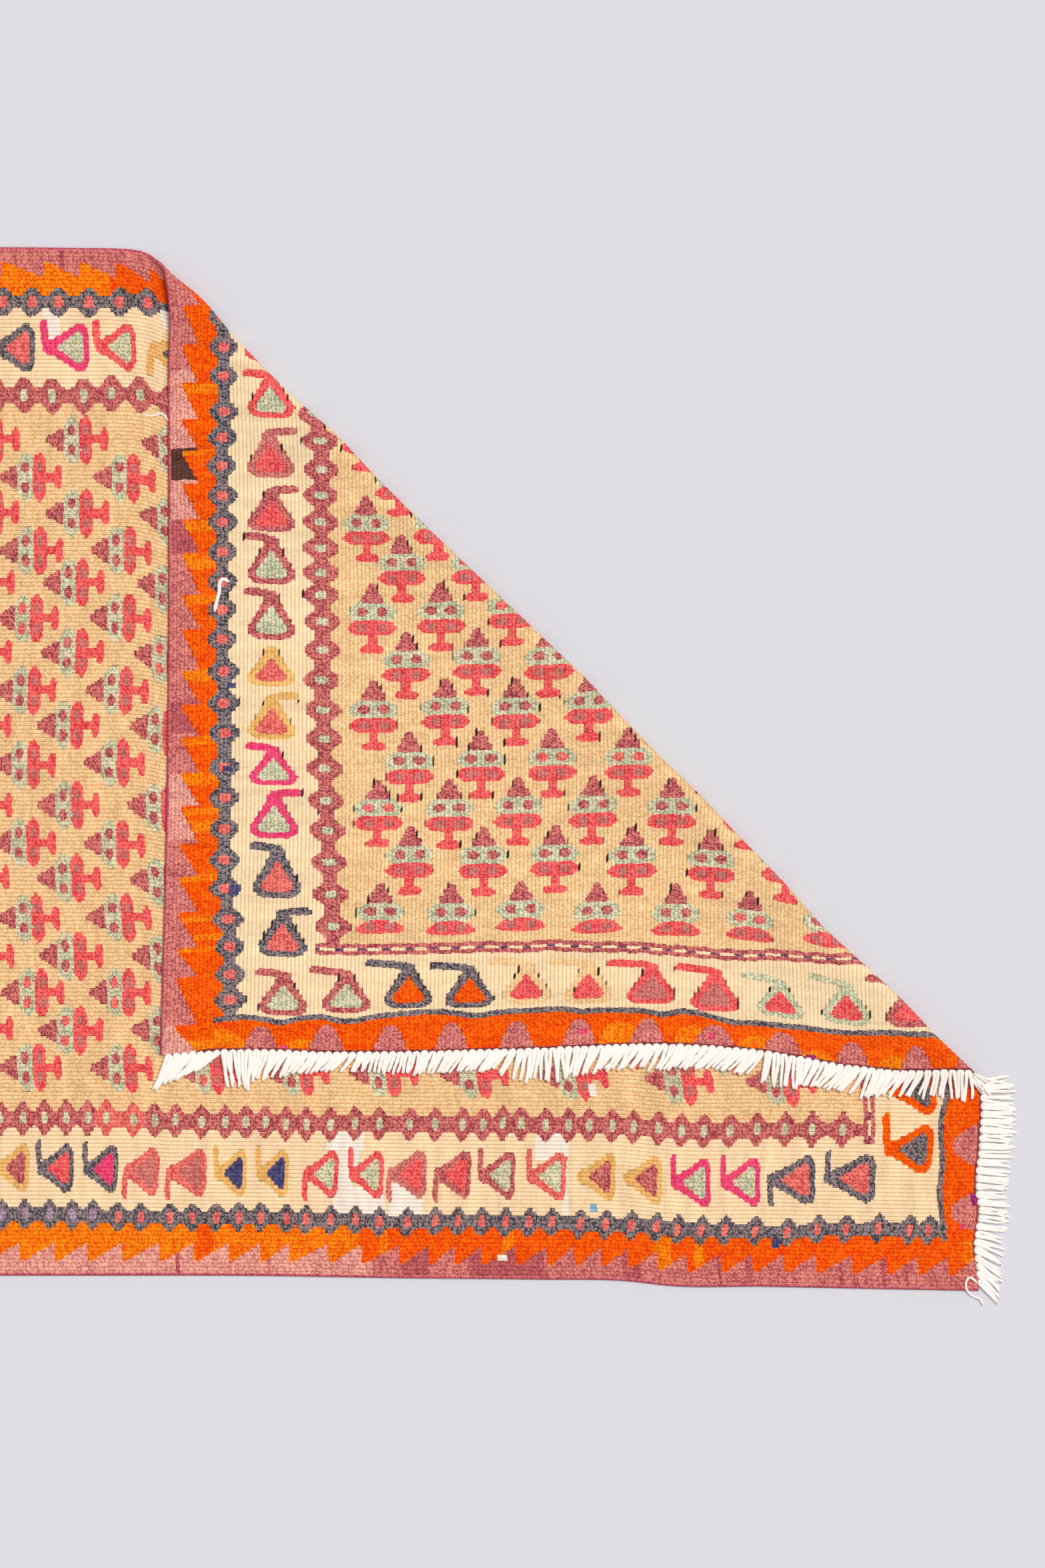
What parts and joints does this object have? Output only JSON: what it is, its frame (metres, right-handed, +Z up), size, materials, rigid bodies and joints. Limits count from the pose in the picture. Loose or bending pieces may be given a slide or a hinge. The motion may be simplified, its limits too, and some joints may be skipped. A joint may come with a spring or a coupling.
{
  "type": "kilim rug",
  "caption": "Flat-woven wool kilim rug with fringed ends, lying flat with a corner folded over onto its front.",
  "frame": {"origin": "middle of the rug's box, on the surface that it lies on", "axes": "+X along the warps towards the end with the folded corner, +Y across them towards the folded side, +Z up"},
  "size_m": [1.4744, 0.977, 0.0164],
  "materials": {
    "wool": "weft-faced flat weave in dyed wool, matte, with coarse ribs along the warps",
    "cotton": "undyed two-ply warp yarn, matte"
  },
  "bodies": {
    "root": {"rug": "wool", "fringe_flap": "cotton", "fringe_end": "cotton", "fringe_far": "cotton"}
  },
  "joints": []
}
